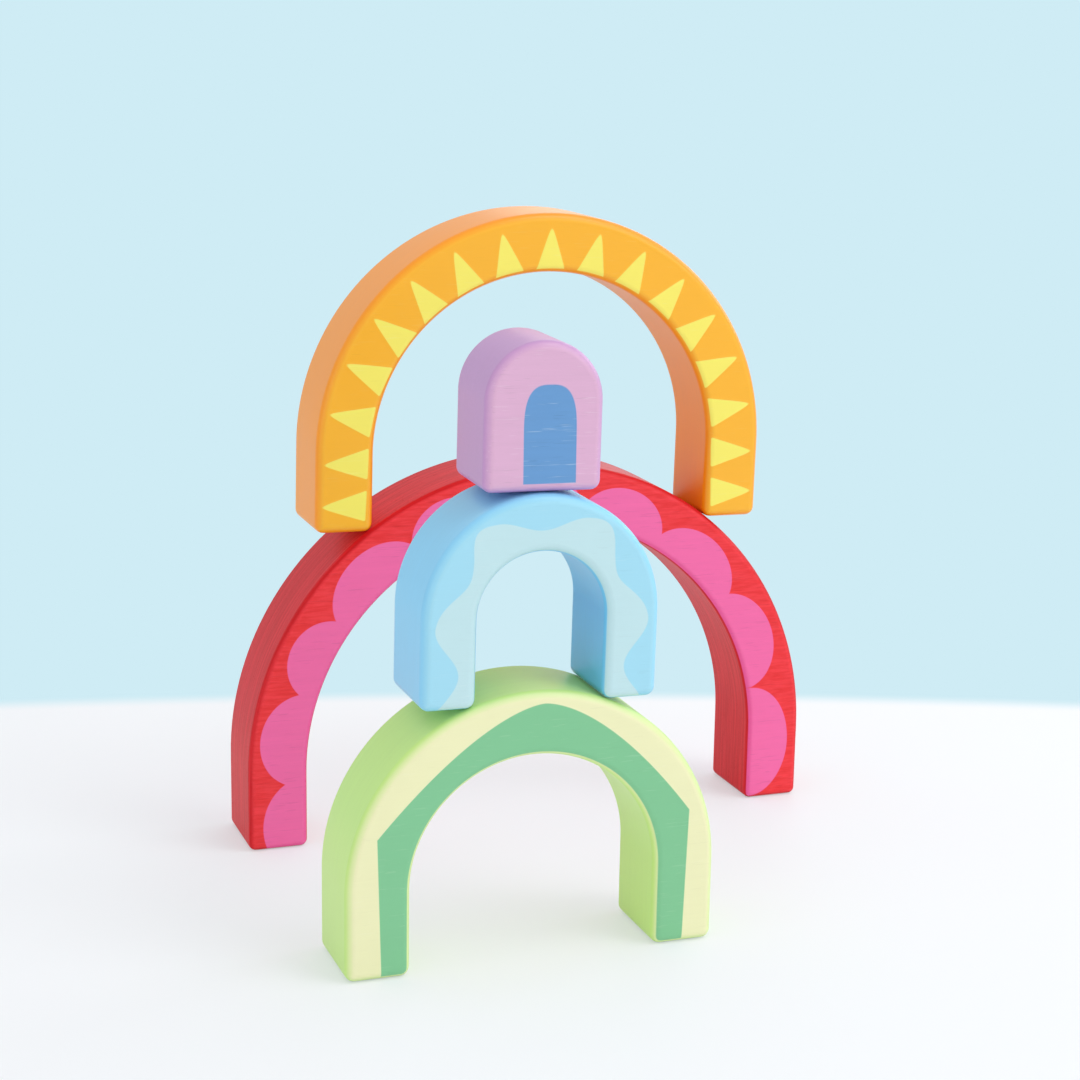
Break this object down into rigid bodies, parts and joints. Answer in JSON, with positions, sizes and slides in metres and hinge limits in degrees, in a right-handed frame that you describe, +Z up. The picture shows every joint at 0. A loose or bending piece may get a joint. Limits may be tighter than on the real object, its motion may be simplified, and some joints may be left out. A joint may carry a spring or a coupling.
{
  "type": "wooden rainbow stacker",
  "caption": "Set of loose nesting wooden arches with printed borders and a solid middle block, stacked crown on crown in two towers that children balance, build and thread things through.",
  "frame": {"origin": "on the floor, at the middle of the box round both towers, which is midway between them and under the middle of the red arch", "axes": "+Z up, +X along the width of the arches to the right, and the printed faces look along -Y"},
  "size_m": [0.22, 0.1574, 0.2303],
  "materials": {
    "red_paint": "satin red stain on wood with pink printed scallops",
    "orange_paint": "satin orange paint on wood with yellow printed triangles",
    "green_paint": "satin lime paint on wood with a darker green printed band",
    "blue_paint": "satin sky blue paint on wood with an aqua printed wave",
    "lilac_paint": "satin lilac paint on wood with a blue printed round-topped panel"
  },
  "bodies": {
    "red_arch": {"red_arch": "red_paint"},
    "orange_arch": {"orange_arch": "orange_paint"},
    "green_arch": {"green_arch": "green_paint"},
    "blue_arch": {"blue_arch": "blue_paint"},
    "lilac_block": {"lilac_block": "lilac_paint"}
  },
  "joints": [
    {"name": "orange_lift", "type": "slide", "parent": "red_arch", "child": "orange_arch", "axis": [0, 0, 1], "range_m": [0, 0.12]},
    {"name": "front_tower_slide", "type": "slide", "parent": "red_arch", "child": "green_arch", "axis": [0, 1, 0], "range_m": [-0.1, 0.08]},
    {"name": "blue_lift", "type": "slide", "parent": "green_arch", "child": "blue_arch", "axis": [0, 0, 1], "range_m": [0, 0.12]},
    {"name": "lilac_lift", "type": "slide", "parent": "blue_arch", "child": "lilac_block", "axis": [0, 0, 1], "range_m": [0, 0.12]}
  ]
}
